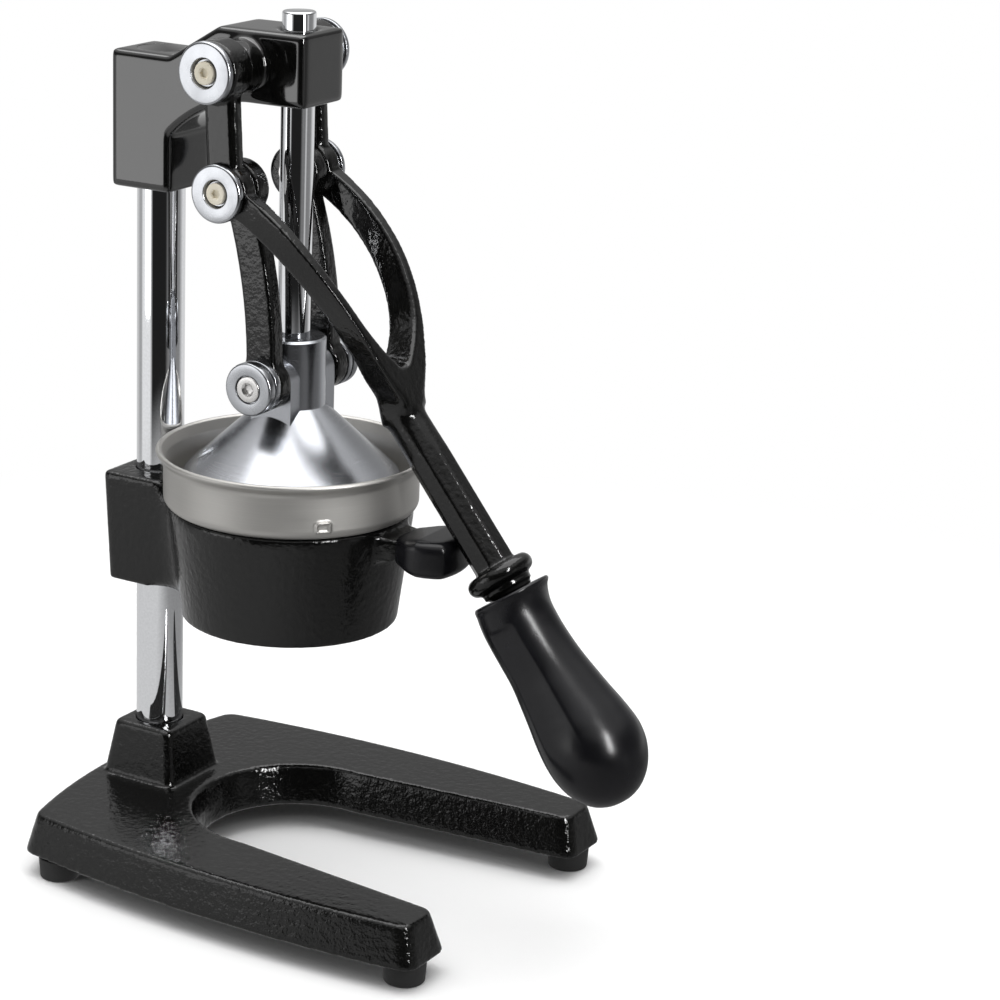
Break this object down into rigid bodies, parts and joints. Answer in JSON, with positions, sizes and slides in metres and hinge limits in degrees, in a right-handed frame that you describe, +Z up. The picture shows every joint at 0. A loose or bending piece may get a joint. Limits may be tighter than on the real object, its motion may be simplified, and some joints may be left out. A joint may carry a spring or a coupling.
{
  "type": "lever citrus press",
  "caption": "Bench-top lever citrus press: a forked handle and two links drive a cone down into a strainer cup held on a post above a U-shaped foot.",
  "frame": {"origin": "on the floor, at the centre of the footprint of the whole press with the handle down", "axes": "+Z up; the handle and the open end of the foot point to -Y, the post is to +Y; X is across"},
  "size_m": [0.1944, 0.298, 0.416],
  "materials": {
    "enamel": "gloss black enamel over a rough casting",
    "enamel_smooth": "smooth gloss black enamel",
    "rubber": "matte black",
    "chrome": "polished chrome",
    "stainless": "brushed",
    "alloy": "polished, turned",
    "grip_plastic": "satin black",
    "screw_steel": "plain",
    "screw_cream": "cream coated",
    "bronze": "plain"
  },
  "bodies": {
    "stand": {"base_casting": "enamel", "foot_front_left": "rubber", "foot_front_right": "rubber", "foot_rear_left": "rubber", "foot_rear_right": "rubber", "foot_screws": "screw_steel", "post": "chrome", "post_washer": "screw_steel", "post_bolt": "screw_steel", "cup_holder": "enamel", "holder_set_screws": "screw_steel", "holder_grip": "grip_plastic", "juice_cup": "stainless", "strainer": "stainless", "head_block": "enamel_smooth", "head_set_screws": "screw_steel", "guide_bush": "bronze", "pivot_shaft": "screw_steel", "pivot_cap_left": "chrome", "pivot_cap_right": "chrome", "pivot_screw_left": "screw_cream", "pivot_screw_right": "screw_cream"},
    "press": {"press_head": "alloy", "slide_rod": "chrome", "rod_screw": "screw_steel"},
    "handle": {"handle_casting": "enamel", "handle_grip": "grip_plastic", "elbow_pin_left": "screw_steel", "elbow_pin_right": "screw_steel", "elbow_cap_left": "chrome", "elbow_cap_right": "chrome", "elbow_screw_left": "screw_cream", "elbow_screw_right": "screw_cream"},
    "left_link": {"link_left": "enamel", "lower_cap_left": "chrome", "lower_screw_left": "screw_steel"},
    "right_link": {"link_right": "enamel", "lower_cap_right": "chrome", "lower_screw_right": "screw_steel"}
  },
  "joints": [
    {"name": "handle_hinge", "type": "hinge", "parent": "stand", "child": "handle", "pos_m": [0, 0.0592, 0.3918], "axis": [-1, 0, 0], "range_deg": [0, 162.6]},
    {"name": "left_link_hinge", "type": "hinge", "parent": "handle", "child": "left_link", "pos_m": [-0.024, 0.0561, 0.337], "axis": [1, 0, 0], "range_deg": [0, 169.3]},
    {"name": "right_link_hinge", "type": "hinge", "parent": "handle", "child": "right_link", "pos_m": [0.024, 0.0561, 0.337], "axis": [1, 0, 0], "range_deg": [0, 169.3]},
    {"name": "press_slide", "type": "slide", "parent": "stand", "child": "press", "axis": [0, 0, 1], "range_m": [0, 0.1071]}
  ],
  "couplings": [
    {"joint": "left_link_hinge", "follows": "handle_hinge", "ratio": 1.0402},
    {"joint": "right_link_hinge", "follows": "handle_hinge", "ratio": 1.0402},
    {"joint": "press_slide", "follows": "handle_hinge", "m_per_rad": 0.037679}
  ]
}
